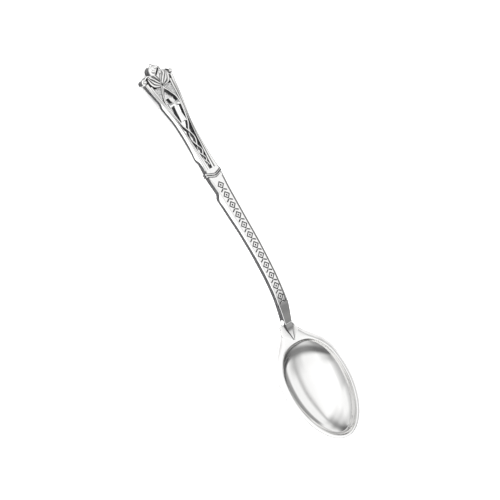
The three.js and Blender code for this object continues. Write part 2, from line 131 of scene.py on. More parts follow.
BOWL_CENTRE_X = 42.5
BOWL_HALF_WIDTH = cad_mm("bowl")[1][1]
NECK_END_X = cad_mm("bowl")[0][0]
BASIN_CENTRE_X = 43
BASIN_BACK_X = 29.6
BASIN_TIP_X = 59.1
BASIN_HALF_WIDTH = 10.4
TIP_SQUARENESS = 1.95
BASIN_TIP_SQUARENESS = 1.9
BASIN_BACK_SQUARENESS = 2.35
LIP = 0.22  # radius of the rim's rounded edge
CREASE = 0.12  # radius of the basin's edge
RIM_SLOPE = 0.0946
RIM_HEIGHT = 5.5
RIM_HEIGHT_X = 44
RIM_EDGE = 0.35
FLOOR_THICKNESS = 0.85
FOOT_SHARE = 0.2
OUTER_SQUARENESS = 2.0
INNER_SQUARENESS = 2.4
SHOULDER = [
    (NECK_END_X, 2.3), (26.3, 3.8), (28.9, 6.3), (32.3, 9.5), (36, 11.2),
    (BOWL_CENTRE_X, BOWL_HALF_WIDTH),
]
TONGUE_TIP_X = cad_mm("tongue")[1][0]

# Neck: half widths at the stem and at the bowl, and a painted highlight on its sides: an oval left bright in
# their painted dark reflection
NECK_CHAMFER = 0.05
NECK_FRONT_HALF = (1.75, 1.22)
NECK_BACK_HALF = (1.76, 1.6)
PAINTED_HIGHLIGHT_X = 22.75
PAINTED_HIGHLIGHT_SHARE = 0.6  # its place between face and back
PAINTED_HIGHLIGHT_SIZE = (0.75, 0.36)

CAMERA_AZIMUTH, CAMERA_ELEVATION, CAMERA_ROLL = 4.58, 53.96, -66.97  # degrees
CAMERA_WIDTH = 142.48  # of the view, in millimetres
CAMERA_AIM = (2.439, 0.863)  # right of and above the origin in the view, in millimetres


# --- Curves -----------------------------------------------------------------------------------------

def through(knots):
    """A smooth function through knots (x, value) that doesn't overshoot them; takes numbers or arrays."""
    xs, ys = (np.array(v, float) for v in zip(*knots))
    chords = np.diff(ys) / np.diff(xs)
    slopes = np.concatenate([chords[:1], np.zeros(len(xs) - 2), chords[-1:]])
    for i in range(1, len(xs) - 1):
        before, after = chords[i - 1], chords[i]
        if before * after > 0:
            slopes[i] = 2 * before * after / (before + after)

    def value(x):
        x = np.clip(np.asarray(x, float), xs[0], xs[-1])
        i = np.clip(np.searchsorted(xs, x, side="right") - 1, 0, len(xs) - 2)
        span = xs[i + 1] - xs[i]
        t = (x - xs[i]) / span
        start = (1 + 2 * t) * (1 - t) ** 2 * ys[i] + t * (1 - t) ** 2 * span * slopes[i]
        end = t * t * (3 - 2 * t) * ys[i + 1] + t * t * (t - 1) * span * slopes[i + 1]
        return start + end

    return value


front_height = through(FRONT_LINE)
handle_half = through(HANDLE_HALF_WIDTH)
rail_width = through(RAIL_WIDTH)
shoulder_half = through(SHOULDER)
flare = through(FLARE)
painted_reflection_top = through(PAINTED_REFLECTION_TOP)
side_depth = through(SIDE_DEPTH)


def rim_height(x):
    return RIM_HEIGHT + RIM_SLOPE * (x - RIM_HEIGHT_X)


def open_half(x):
    """Half of the clear width between the rails' ridges."""
    return handle_half(x) - rail_width(x)


def smoothstep(low, high, value):
    t = np.clip((np.asarray(value, float) - low) / (high - low), 0, 1)
    return t * t * (3 - 2 * t)


def spline(points, count):
    """A Catmull-Rom curve through points, as an array of count + 1 points."""
    p = np.array(points, float)
    p = np.vstack([2 * p[0] - p[1], p, 2 * p[-1] - p[-2]])
    out = []
    spans = len(p) - 3
    for t in np.linspace(0, spans, count + 1):
        i = min(int(t), spans - 1)
        f = t - i
        a, b, c, d = p[i:i + 4]
        out.append(0.5 * (2 * b + (c - a) * f + (2 * a - 5 * b + 4 * c - d) * f ** 2
                          + (3 * b - a - 3 * c + d) * f ** 3))
    return np.array(out)


# --- Meshes -----------------------------------------------------------------------------------------

class Mesh:
    """Points, faces and a darkening value for each point (patina in hollows and painted shade), gathered in
    millimetres.
    """

    def __init__(self):
        self.points = []
        self.faces = []
        self.patina_and_shade = []

    def add(self, points, faces, patina_and_shade=None):
        start = len(self.points)
        self.points.extend(np.asarray(points, float))
        self.faces.extend([tuple(start + k for k in face) for face in faces])
        self.patina_and_shade.extend(np.zeros(len(points)) if patina_and_shade is None else patina_and_shade)
        return self


def loft_faces(rings, per_ring, closed=True, caps=True):
    faces = []
    for i in range(rings - 1):
        for k in range(per_ring if closed else per_ring - 1):
            a = i * per_ring + k
            b = i * per_ring + (k + 1) % per_ring
            faces.append((a, b, b + per_ring, a + per_ring))
    if caps:
        last = (rings - 1) * per_ring
        faces.append(tuple(reversed(range(per_ring))))
        faces.append(tuple(range(last, last + per_ring)))
    return faces


def drape(points):
    """Lifts points from handle space onto the handle's front line."""
    lifted = np.array(points, float)
    lifted[:, 2] += front_height(lifted[:, 0])
    return lifted


def sweep(path, section):
    """Rings square to a path in plan; section(i) gives rows of across, depth and darkening (patina and
    painted shade).
    """
    path = np.asarray(path, float)
    along = np.gradient(path[:, :2], axis=0)
    along /= np.linalg.norm(along, axis=1)[:, None]
    rings, patina_and_shade = [], []
    for i, point in enumerate(path):
        shape = np.asarray(section(i), float)
        ring = np.empty((len(shape), 3))
        ring[:, 0] = point[0] - along[i, 1] * shape[:, 0]
        ring[:, 1] = point[1] + along[i, 0] * shape[:, 0]
        ring[:, 2] = (point[2] if len(point) > 2 else 0) + shape[:, 1]
        rings.append(ring)
        patina_and_shade.append(shape[:, 2] if shape.shape[1] > 2 else np.zeros(len(shape)))
    return np.array(rings), np.array(patina_and_shade)


def swept(path, section):
    """A closed bar in handle space, draped onto the handle."""
    rings, patina_and_shade = sweep(path, section)
    return Mesh().add(drape(rings.reshape(-1, 3)), loft_faces(*rings.shape[:2]), patina_and_shade.ravel())


def side_rows(x, top=0.08, count=29):
    """The outer side of the handle from below the face to the back: how far out, how deep, how dark its
    painted reflection is.

    The last row lies on the back, just inside its edge, where the painted dark reflection has faded out.
    """
    back = float(side_depth(x))
    depth = -np.linspace(top, back, count)
    out = flare(x) * smoothstep(-0.3, -1.5, depth) - 0.06 * smoothstep(-back + 0.08, -back, depth)
    # Painted dark reflection on the side wall, below a depth that changes along the handle.
    dark = SIDE_PAINTED_REFLECTION * smoothstep(0.12, -0.12, depth + painted_reflection_top(x))
    return np.vstack([np.column_stack([out, depth, dark]), (out[-1] - BACK_EDGE, -back, 0)])


def mirror(mesh):
    other = Mesh()
    other.points = [p * (1, -1, 1) for p in mesh.points]
    other.faces = [tuple(reversed(f)) for f in mesh.faces]
    other.patina_and_shade = list(mesh.patina_and_shade)
    return other


def build(name, mesh, nodes, material, sharp=35):
    """Makes the Blender object for a piece, in metres, and ties it to the frame."""
    data = bpy.data.meshes.new(name)
    data.from_pydata((np.array(mesh.points) * MM).tolist(), [], mesh.faces)
    data.validate()
    data.materials.append(material)
    attribute = data.color_attributes.new("patina_and_shade", "FLOAT_COLOR", "POINT")
    values = np.repeat(np.array(mesh.patina_and_shade, float)[:, None], 4, axis=1)
    values[:, 3] = 1
    attribute.data.foreach_set("color", values.ravel())
    piece = bpy.data.objects.new(name, data)
    bpy.context.scene.collection.objects.link(piece)
    face_out(data)
    data.polygons.foreach_set("use_smooth", [True] * len(data.polygons))
    data.set_sharp_from_angle(angle=math.radians(sharp))
    data.update()
    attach(piece, "root")
    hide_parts(*nodes)
    return piece


def face_out(data):
    work = bmesh.new()
    work.from_mesh(data)
    bmesh.ops.recalc_face_normals(work, faces=work.faces)
    work.to_mesh(data)
    work.free()


# --- Materials --------------------------------------------------------------------------------------

def silver(name, roughness=0.09, tint=(0.955, 0.952, 0.945), grain=False, fleck_strength=0.25):
    """Polished silver: soft tone changes, fine polishing haze, and near-black where the darkening value says,
    for patina in hollows and for painted shade and dark reflections.
    """
    material = bpy.data.materials.new(name)
    material.use_nodes = True
    nodes, links = material.node_tree.nodes, material.node_tree.links
    shader = nodes["Principled BSDF"]
    shader.inputs["Metallic"].default_value = 1.0

    where = nodes.new("ShaderNodeTexCoord")
    cloud = nodes.new("ShaderNodeTexNoise")
    cloud.inputs["Scale"].default_value = 90
    cloud.inputs["Detail"].default_value = 3
    links.new(where.outputs["Object"], cloud.inputs["Vector"])
    tone = nodes.new("ShaderNodeMix")
    tone.data_type = "RGBA"
    tone.inputs["A"].default_value = (*[c * 0.965 for c in tint], 1)
    tone.inputs["B"].default_value = (*tint, 1)
    links.new(cloud.outputs["Fac"], tone.inputs["Factor"])

    patina_and_shade = nodes.new("ShaderNodeAttribute")
    patina_and_shade.attribute_name = "patina_and_shade"
    fleck = nodes.new("ShaderNodeTexNoise")
    fleck.inputs["Scale"].default_value = 2600
    fleck.inputs["Detail"].default_value = 2
    links.new(where.outputs["Object"], fleck.inputs["Vector"])
    uneven = nodes.new("ShaderNodeMath")
    uneven.operation = "MULTIPLY_ADD"
    uneven.inputs[1].default_value = fleck_strength
    links.new(fleck.outputs["Fac"], uneven.inputs[0])
    uneven.inputs[2].default_value = 1 - fleck_strength * 0.6
    cover = nodes.new("ShaderNodeMath")
    cover.operation = "MULTIPLY"
    cover.use_clamp = True
    links.new(patina_and_shade.outputs["Fac"], cover.inputs[0])
    links.new(uneven.outputs[0], cover.inputs[1])
    # Mixes the tone towards near-black by the darkening value: patina in hollows and painted shade.
    dark_mix = nodes.new("ShaderNodeMix")
    dark_mix.data_type = "RGBA"
    dark_mix.inputs["B"].default_value = (0.022, 0.022, 0.025, 1)
    links.new(tone.outputs["Result"], dark_mix.inputs["A"])
    links.new(cover.outputs[0], dark_mix.inputs["Factor"])
    links.new(dark_mix.outputs["Result"], shader.inputs["Base Color"])

    haze = nodes.new("ShaderNodeTexNoise")
    haze.inputs["Scale"].default_value = 700
    haze.inputs["Detail"].default_value = 4
    links.new(where.outputs["Object"], haze.inputs["Vector"])
    gloss = nodes.new("ShaderNodeMapRange")
    gloss.inputs["From Min"].default_value = 0.3
    gloss.inputs["From Max"].default_value = 0.7
    gloss.inputs["To Min"].default_value = roughness * 0.8
    gloss.inputs["To Max"].default_value = roughness * 1.25
    links.new(haze.outputs["Fac"], gloss.inputs["Value"])
    dull = nodes.new("ShaderNodeMix")
    dull.data_type = "FLOAT"
    dull.inputs["B"].default_value = 0.5
    links.new(gloss.outputs["Result"], dull.inputs["A"])
    links.new(cover.outputs[0], dull.inputs["Factor"])
    links.new(dull.outputs["Result"], shader.inputs["Roughness"])

    scratch = nodes.new("ShaderNodeTexNoise")
    scratch.inputs["Scale"].default_value = 1800 if grain else 900
    scratch.inputs["Detail"].default_value = 5
    links.new(where.outputs["Object"], scratch.inputs["Vector"])
    bump = nodes.new("ShaderNodeBump")
    bump.inputs["Strength"].default_value = 0.6 if grain else 0.05
    bump.inputs["Distance"].default_value = 0.00003 if grain else 0.00001
    links.new(scratch.outputs["Fac"], bump.inputs["Height"])
    links.new(bump.outputs["Normal"], shader.inputs["Normal"])
    return material


polished = silver("polished_silver", roughness=0.08)
soft_polished = silver("cast_silver", roughness=0.16, fleck_strength=0.4)
matted = silver("matted_silver", roughness=0.38, grain=True, tint=(0.9, 0.9, 0.895), fleck_strength=0.5)


# --- Bowl -------------------------------------------------------------------------------------------

def egg(angle, centre, reach, half_width, squareness):
    power = 2 / squareness
    along = np.sign(np.cos(angle)) * np.abs(np.cos(angle)) ** power
    across = np.sign(np.sin(angle)) * np.abs(np.sin(angle)) ** power
    return np.stack([centre + reach * along, half_width * across], axis=1)


def bowl_outline(angle):
    tip = egg(angle, BOWL_CENTRE_X, TIP_X - BOWL_CENTRE_X, BOWL_HALF_WIDTH, TIP_SQUARENESS)
    x = BOWL_CENTRE_X + (BOWL_CENTRE_X - NECK_END_X) * np.cos(angle)
    back = np.stack([x, np.sign(np.sin(angle)) * shoulder_half(x)], axis=1)
    return np.where(np.cos(angle)[:, None] >= 0, tip, back)


def basin_edge(angle):
    tip = egg(angle, BASIN_CENTRE_X, BASIN_TIP_X - BASIN_CENTRE_X, BASIN_HALF_WIDTH, BASIN_TIP_SQUARENESS)
    reach = BASIN_CENTRE_X - BASIN_BACK_X
    back = egg(angle, BASIN_CENTRE_X, reach, BASIN_HALF_WIDTH, BASIN_BACK_SQUARENESS)
    return np.where(np.cos(angle)[:, None] >= 0, tip, back)


def sag(share, power):
    """How far down a wall lies: 0 at the rim, where share is 1, and 1 at the middle."""
    return (1 - share ** power) ** (1 / power)


def bowl():
    angles = (np.arange(320) + 0.5) / 320 * 2 * math.pi
    outline, edge = bowl_outline(angles), basin_edge(angles)
    middle = np.array([BASIN_CENTRE_X, 0.0])
    inward = edge - outline
    margin = np.linalg.norm(inward, axis=1)[:, None]
    inward /= margin
    rings, patina_and_shade = [], []
    # Only the spoon's left side gets the painted dark marks of the bowl below.
    left = np.where(np.cos(angles) > 0, smoothstep(0.7, 0.92, -np.sin(angles)),
                    smoothstep(0.0, 0.3, -np.sin(angles - 0.12)))

    def ring(plan, height, dark=0.0):
        rings.append(np.column_stack([plan, height]))
        patina_and_shade.append(dark * left)

    for turn in np.linspace(0, math.pi / 2, 28):
        rise = math.sin(turn)
        plan = middle + (outline - middle) * (FOOT_SHARE + (1 - FOOT_SHARE) * rise)
        # Painted shade: a grey band on the outer wall just under the rim, on the left side.
        under = 0.4 * float(smoothstep(0.86, 0.9, rise) * smoothstep(0.98, 0.95, rise))
        ring(plan, (rim_height(plan[:, 0]) - RIM_EDGE) * (1 - sag(rise, OUTER_SQUARENESS)), under)
    for turn in np.linspace(0, math.pi / 2, 6):
        plan = outline + inward * LIP * (1 - math.cos(turn))
        ring(plan, rim_height(plan[:, 0]) - LIP * (1 - math.sin(turn)) * 0.9 - 0.045 * margin[:, 0])
    for share in np.linspace(0, 1, 6)[1:]:
        reach = LIP + (margin - LIP - CREASE) * share
        plan = outline + inward * reach
        ring(plan, rim_height(plan[:, 0]) - 0.045 * margin[:, 0] * (1 - share) ** 2)
    for turn in np.linspace(0, math.pi / 2, 5)[1:]:
        plan = edge - inward * CREASE * (1 - math.sin(turn))
        ring(plan, rim_height(plan[:, 0]) - CREASE * (1 - math.cos(turn)))
    for turn in np.linspace(0, math.pi / 2, 40)[1:]:
        share = max(math.cos(turn), 0.02)
        plan = middle + (edge - middle) * share
        depth = rim_height(plan[:, 0]) - CREASE - FLOOR_THICKNESS
        # Painted dark reflection: a crescent on the basin's wall just inside its edge, on the left side.
        dark = 0.85 * float(smoothstep(0.75, 0.79, share) * smoothstep(0.88, 0.83, share))
        ring(plan, rim_height(plan[:, 0]) - CREASE - depth * sag(share, INNER_SQUARENESS), dark)
    mesh = Mesh().add(np.vstack(rings), loft_faces(len(rings), len(angles)), np.concatenate(patina_and_shade))
    return build("bowl_raised", mesh, ["bowl"], polished, sharp=60)


# --- Neck, tongue and stem --------------------------------------------------------------------------

def neck():
    """A bar that bends down and narrows, its lower edges flaring out to meet the bowl's shoulders."""
    rings, patina_and_shade = [], []
    drop = through([(STEM_END_X - 0.5, 1.85), (20, 1.78), (22, 1.68), (NECK_END_X, 1.62)])
    for x in np.linspace(STEM_END_X - 0.3, NECK_END_X, 70):
        t = np.clip((x - STEM_END_X) / (NECK_END_X - STEM_END_X), 0, 1.1)
        top_half = NECK_FRONT_HALF[0] + (NECK_FRONT_HALF[1] - NECK_FRONT_HALF[0]) * t
        flared = NECK_BACK_HALF[0] + (NECK_BACK_HALF[1] - NECK_BACK_HALF[0]) * t
        top = float(front_height(x))
        bottom = top - float(drop(x))
        share = np.linspace(0, 1, 24)
        height = top - NECK_CHAMFER - (top - NECK_CHAMFER - bottom) * share
        upper = top_half + NECK_CHAMFER * 0.6
        half = upper + (flared - upper) * smoothstep(0, 0.9, share)
        # Painted dark reflection on the neck's sides, with an oval painted highlight left bright in it.
        from_painted_highlight = np.hypot((x - PAINTED_HIGHLIGHT_X) / PAINTED_HIGHLIGHT_SIZE[0], (share - PAINTED_HIGHLIGHT_SHARE) / PAINTED_HIGHLIGHT_SIZE[1])
        dark = SIDE_PAINTED_REFLECTION * smoothstep(0.0, 0.05, share) * smoothstep(0.85, 1.1, from_painted_highlight)
        right = np.vstack([np.column_stack([half, height, dark]), (half[-1] - BACK_EDGE, bottom, 0)])
        face = [(top_half, top, 0), (-top_half, top, 0)]
        section = np.vstack([right[::-1], face, right * (-1, 1, 1)])
        rings.append(np.column_stack([np.full(len(section), x), section[:, :2]]))
        patina_and_shade.append(section[:, 2])
    mesh = Mesh().add(np.vstack(rings), loft_faces(len(rings), len(rings[0])), np.concatenate(patina_and_shade))
    return build("neck_forged", mesh, ["neck"], polished)


def tongue():
    """A pointed tongue that carries the neck onto the bowl, stepped above two sloping facets."""
    top_half = through([(NECK_END_X, 1.22), (25.2, 0.92), (26.6, 0.5), (TONGUE_TIP_X, 0.04)])
    base_half = through([(NECK_END_X, 2.3), (26.2, 3.25), (27.4, 1.9), (TONGUE_TIP_X, 0.12)])
    top_z = through([(NECK_END_X, 5.3), (25.2, 4.6), (26.6, 4.32), (TONGUE_TIP_X, 4.14)])
    rings, patina_and_shade = [], []
    for x in np.linspace(NECK_END_X - 0.02, TONGUE_TIP_X, 60):
        base = rim_height(x) - 0.06
        top = float(top_z(x))
        foot = base + (top - base) * 0.34
        # Painted shade on the flanks of the tongue's raised part: strong on its step walls, light at their
        # foot.
        rows = [(float(base_half(x)), base, 0), (float(top_half(x)) + 0.24, foot, 0.3),
                (float(top_half(x)) + 0.14, foot + 0.05, 0.9), (float(top_half(x)) + 0.08, top - 0.08, 0.9),
                (float(top_half(x)), top, 0)]
        right = np.array(rows)
        section = np.vstack([right, (right * (-1, 1, 1))[::-1]])
        rings.append(np.column_stack([np.full(len(section), x), section[:, :2]]))
        patina_and_shade.append(section[:, 2])
    mesh = Mesh().add(np.vstack(rings), loft_faces(len(rings), len(rings[0])), np.concatenate(patina_and_shade))
    return build("tongue_on_shoulder", mesh, ["tongue"], polished)


def stroke(x, y, ax, ay, bx, by, width):
    """Distance-based mask of an engraved line from a to b, 1 at its middle."""
    ab = np.array([bx - ax, by - ay])
    t = np.clip(((x - ax) * ab[0] + (y - ay) * ab[1]) / (ab @ ab), 0, 1)
    distance = np.hypot(x - ax - t * ab[0], y - ay - t * ab[1])
    return np.clip(1 - distance / (width / 2), 0, 1)


def engraving(x, y, start, end):
    """Depth share of a frieze that repeats along the field: lozenges with a dot, and pairs of bars."""
    pitch = 3.25
    count = int((end - start) / pitch)
    offset = (end - start - count * pitch) / 2
    reach, half, width = 1.0, 1.02, 0.36
    depth = np.zeros_like(x)
    for i in range(count):
        cx = start + offset + (i + 0.5) * pitch
        near = np.abs(x - cx) < pitch * 0.75
        if not near.any():
            continue
        px, py = x[near] - cx, y[near]
        local = np.clip(1.4 - np.hypot(px, py) / 0.22, 0, 1)
        for sx, sy in ((1, 1), (1, -1), (-1, 1), (-1, -1)):
            local = np.maximum(local, stroke(px, py, sx * reach, 0, 0, sy * half, width))
        for sy in (1, -1):
            bar = stroke(px, py, pitch / 2 - 0.22, sy * 0.22, pitch / 2 + 0.22, sy * 0.98, width * 1.15)
            local = np.maximum(local, bar)
        depth[near] = np.maximum(depth[near], local)
    return depth


def stem():
    xs = np.arange(STEM_START_X - 0.02, STEM_END_X + 0.001, 0.055)
    across = 64
    rings, patina_and_shade = [], []
    for x in xs:
        half = float(handle_half(x))
        inner = half - BORDER_WIDTH - 0.02
        y = np.linspace(inner, -inner, across)
        cut = engraving(np.full(across, x), y, FIELD_START_X + 0.6, STEM_END_X - 0.4)
        sunk = FIELD_DEPTH * float(smoothstep(COLLAR_POINT_X - 0.8, COLLAR_POINT_X - 0.4, x))
        edge_line = smoothstep(inner - 0.26, inner - 0.1, np.abs(y)) * float(x > FIELD_START_X)
        field_z = -sunk - ENGRAVING_DEPTH * smoothstep(0, 0.9, cut)
        rows = side_rows(x, FIELD_DEPTH + 0.05)
        shoulder = [(half, -sunk, rows[0, 2])]
        right = np.vstack([shoulder, np.column_stack([half + rows[:, 0], rows[:, 1:]])])
        from_collar = x - collar_line(y, COLLAR_POINT_X)
        groove = smoothstep(0.42, 0.32, from_collar) * smoothstep(-1.04, -0.94, from_collar)
        dark = np.maximum.reduce([smoothstep(0.1, 0.45, cut), 0.8 * edge_line, 0.95 * groove])
        field = np.column_stack([y, field_z, dark])
        section = np.vstack([right[::-1], field, right * (-1, 1, 1)])
        rings.append(np.column_stack([np.full(len(section), x), section[:, :2]]))
        patina_and_shade.append(section[:, 2])
    points = drape(np.vstack(rings))
    mesh = Mesh().add(points, loft_faces(len(rings), len(rings[0])), np.concatenate(patina_and_shade))
    return build("stem_engraved", mesh, ["stem_bar"], polished, sharp=50)


def stem_borders():
    xs = np.linspace(FIELD_START_X, STEM_END_X, 240)
    half = BORDER_WIDTH / 2
    path = np.column_stack([xs, -handle_half(xs) + half])

    def section(i):
        # Painted dark reflection on the wire's outer side, where the handle's side is painted dark up to the
        # face.
        outer_dark = SIDE_PAINTED_REFLECTION * float(smoothstep(0.3, 0.1, painted_reflection_top(xs[i])))
        return [(-half, -FIELD_DEPTH - 0.05, outer_dark), (half, -FIELD_DEPTH - 0.05, 1),
                (half, -0.2, 0.9), (half, -0.1, 0.1), (half - 0.06, 0, 0), (-half + 0.06, 0, 0),
                (-half, -0.06, 0.1), (-half, -0.12, outer_dark)]

    left = swept(path, section)
    build("stem_border_wire_left", left, ["stem_border_left"], polished)
    build("stem_border_wire_right", mirror(left), ["stem_border_right"], polished)


def collar_line(y, point_x):
    """Where a pointed moulding crosses the handle at y."""
    return point_x - COLLAR_RISE * np.abs(y / COLLAR_HALF_WIDTH) ** COLLAR_BEND


def collar(name, node, point_x):
    """A pointed half-round moulding over the front, whose ends run down both sides to the back."""
    shares = np.linspace(-1, 1, 81)
    half = COLLAR_HALF_WIDTH - 0.16
    x = collar_line(shares * half, point_x)
    path = np.column_stack([x, shares * half, np.full(len(x), -FIELD_DEPTH)])
    arc = np.linspace(0, math.pi, 13)
    foot_dark = smoothstep(0.2, 0.05, 0.36 * np.sin(arc))
    section = np.column_stack([0.25 * np.cos(arc), 0.36 * np.sin(arc), foot_dark])
    mesh = swept(path, lambda i: section)
    for side in (-1, 1):
        rings, patina_and_shade = [], []
        around = np.linspace(0, 2 * math.pi, 20, endpoint=False)
        for drop in np.linspace(0.02, 1, 14):
            size = 0.25 * math.sqrt(max(1 - drop ** 8, 0.02))
            rings.append(np.column_stack([
                x[0] + size * 1.1 * np.cos(around), side * half + size * np.sin(around),
                np.full(20, -FIELD_DEPTH + 0.2 - drop * 2.0),
            ]))
            # The collar's ends get the painted dark reflection of the handle's sides.
            patina_and_shade.append(np.full(20, SIDE_PAINTED_REFLECTION * float(smoothstep(0.02, 0.16, drop))))
        mesh.add(drape(np.vstack(rings)), loft_faces(14, 20), np.concatenate(patina_and_shade))
    return build(name, mesh, [node], polished, sharp=60)


# --- Openwork ---------------------------------------------------------------------------------------

def rails():
    xs = np.linspace(cad_mm("rail_left")[0][0], cad_mm("rail_left")[1][0] + 0.05, 260)
    width = rail_width(xs) * RAIL_SHARE - 0.05
    path = np.column_stack([xs, -handle_half(xs) + width / 2])

    def section(i):
        half = width[i] / 2
        thickness = float(side_depth(xs[i]))
        rows = side_rows(xs[i])
        outer = np.column_stack([-half - rows[:, 0], rows[:, 1:]])
        inner = [(half - 0.05, -thickness, 0), (half, -thickness + 0.05, 1), (half, -0.3, 1),
                 (half, -0.12, 0.3), (half - 0.05, 0, 0),
                 (-half + 0.32, 0, 0), (-half + 0.25, -0.05, 0.5), (-half + 0.17, -0.05, 0.5),
                 (-half + 0.1, 0, 0), (-half + 0.04, 0, 0)]
        return np.vstack([inner, outer])

    left = swept(path, section)
    build("rail_bar_left", left, ["rail_left"], polished)
    build("rail_bar_right", mirror(left), ["rail_right"], polished)


def ridges():
    xs = np.linspace(cad_mm("ridge_left")[0][0], cad_mm("ridge_left")[1][0] + 0.05, 200)
    width = rail_width(xs) * (1 - RAIL_SHARE) - 0.08
    path = np.column_stack([xs, -handle_half(xs) + rail_width(xs) - width / 2])
    crown = np.linspace(0, math.pi, 11)

    def section(i):
        half = width[i] / 2
        depth = -min(1.9, float(side_depth(xs[i])))
        top = np.column_stack([half * np.cos(crown), -0.26 + 0.2 * np.sin(crown),
                               smoothstep(0.08, 0.0, 0.2 * np.sin(crown))])
        walls = [(-half, -0.45, 1), (-half, depth, 1), (-half * 0.6, depth, 0), (half * 0.6, depth, 0),
                 (half, depth, 1), (half, -0.45, 1)]
        return np.vstack([walls, top])

    left = swept(path, section)
    build("ridge_wire_left", left, ["ridge_left"], polished)
    build("ridge_wire_right", mirror(left), ["ridge_right"], polished)


def strand_path():
    """The left strand in plan: down its side of the cross, then from side to side over the crossings."""
    points = list(STRAND_PATH)
    gate = [*CROSSINGS_X, STRAND_END_X]
    points.append((CROSSINGS_X[0], 0.0))
    for i in range(len(gate) - 1):
        middle = (gate[i] + gate[i + 1]) / 2
        side = 1 if i % 2 == 0 else -1
        swing = min(float(open_half(middle)) - 0.26, 0.72)
        points.append((middle, side * swing))
        if i < len(gate) - 2:
            points.append((gate[i + 1], 0.0))
    return spline(points, 420)


def strand_lift(x):
    knots = [(-60, 0.0), (CROSSINGS_X[0] - 3, 0.0)]
    knots += [(crossing, 1.0 if i % 2 == 0 else -1.0) for i, crossing in enumerate(CROSSINGS_X)]
    return through([*knots, (STRAND_END_X, 0.0)])(x)


def strand(side, lift):
    path = strand_path()
    widths = [(-52.5, 0.7), (-51.8, 0.9), (-50.5, 0.72), (-48.5, 0.5), (-46, STRAND_WIDTH), (-26, 0.4)]
    grooves = [(-52.5, 0.1), (-52, 0.16), (-50, 0.14), (-48.6, 0.0), (-26, 0.0)]
    width, groove = through(widths)(path[:, 0]), through(grooves)(path[:, 0])
    weave = smoothstep(-42, -38.5, path[:, 0]) * (1 - lift * strand_lift(path[:, 0])) / 2
    lifted = np.column_stack([path, -0.04 - STRAND_LIFT * weave])
    crown = np.linspace(1, -1, 17)
    profile = 0.18 * np.sqrt(1 - (0.98 * crown) ** 2) - 0.18
    furrow = np.exp(-(crown / 0.2) ** 2)

    def section(i):
        half = width[i] / 2
        dark = np.maximum(smoothstep(-0.09, -0.15, profile), furrow * smoothstep(0.02, 0.1, groove[i]))
        top = np.column_stack([half * crown, profile - groove[i] * furrow, dark])
        foot = -1.3 - 0.6 * float(smoothstep(-46.5, -48, path[i, 0]))
        walls = [(-half, -0.3, 1), (-half * 0.9, foot, 1), (-half * 0.5, foot, 0), (half * 0.5, foot, 0),
                 (half * 0.9, foot, 1), (half, -0.3, 1)]
        return np.vstack([walls, top])

    mesh = swept(lifted, section)
    if side > 0:
        mesh = mirror(mesh)
    word = "left" if side < 0 else "right"
    return build(f"strand_wire_{word}", mesh, [f"strand_{word}"], polished)


def cross():
    """A long cross with flared ends, each arm bevelled to a ridge along its middle."""
    waist, arm_flare, foot_flare = 0.42, 0.74, 1.02
    arms = [((-1, 0), CROSS_TOP, arm_flare), ((0, 1), CROSS_ARM, arm_flare),
            ((1, 0), CROSS_FOOT, foot_flare), ((0, -1), CROSS_ARM, arm_flare)]
    edge_z, ridge_z, hip = 0.04, 0.17, 0.3
    points = [(CROSS_X, 0, ridge_z)]
    outline = []
    faces = []
    corners = [(-waist, -waist), (-waist, waist), (waist, waist), (waist, -waist)]
    corner_index = []
    for cx, cy in corners:
        corner_index.append(len(points))
        points.append((CROSS_X + cx, cy, edge_z))
    for k, ((ux, uy), reach, end_half) in enumerate(arms):
        px, py = -uy, ux
        first, second = corner_index[k], corner_index[(k + 1) % 4]
        a = len(points)
        points.append((CROSS_X + ux * reach + px * end_half, uy * reach + py * end_half, edge_z))
        points.append((CROSS_X + ux * reach - px * end_half, uy * reach - py * end_half, edge_z))
        points.append((CROSS_X + ux * (reach - hip), uy * (reach - hip), ridge_z))
        to_first = [math.dist(points[i], points[first]) for i in (a, a + 1)]
        near_first = a if to_first[0] < to_first[1] else a + 1
        near_second = a + 1 if near_first == a else a
        faces += [(0, first, near_first, a + 2), (0, a + 2, near_second, second),
                  (a + 2, near_first, near_second)]
        outline += [first, near_first, near_second]
    count = len(points)
    lower = [(points[i][0], points[i][1], -1.6) for i in outline]
    shoulder = [(points[i][0], points[i][1], -0.25) for i in outline]
    back = [(CROSS_X + (x - CROSS_X) * 0.92, y * 0.92, z) for x, y, z in lower]
    points += shoulder + lower + back
    n = len(outline)
    for i in range(n):
        j = (i + 1) % n
        faces.append((outline[i], outline[j], count + j, count + i))
        faces.append((count + i, count + j, count + n + j, count + n + i))
        faces.append((count + n + i, count + n + j, count + 2 * n + j, count + 2 * n + i))
    faces.append(tuple(count + 2 * n + i for i in reversed(range(n))))
    patina_and_shade = [0.0] * count + [1.0] * 2 * n + [0.0] * n
    mesh = Mesh().add(drape(points), faces, patina_and_shade)
    return build("cross_bevelled", mesh, ["cross"], polished, sharp=20)


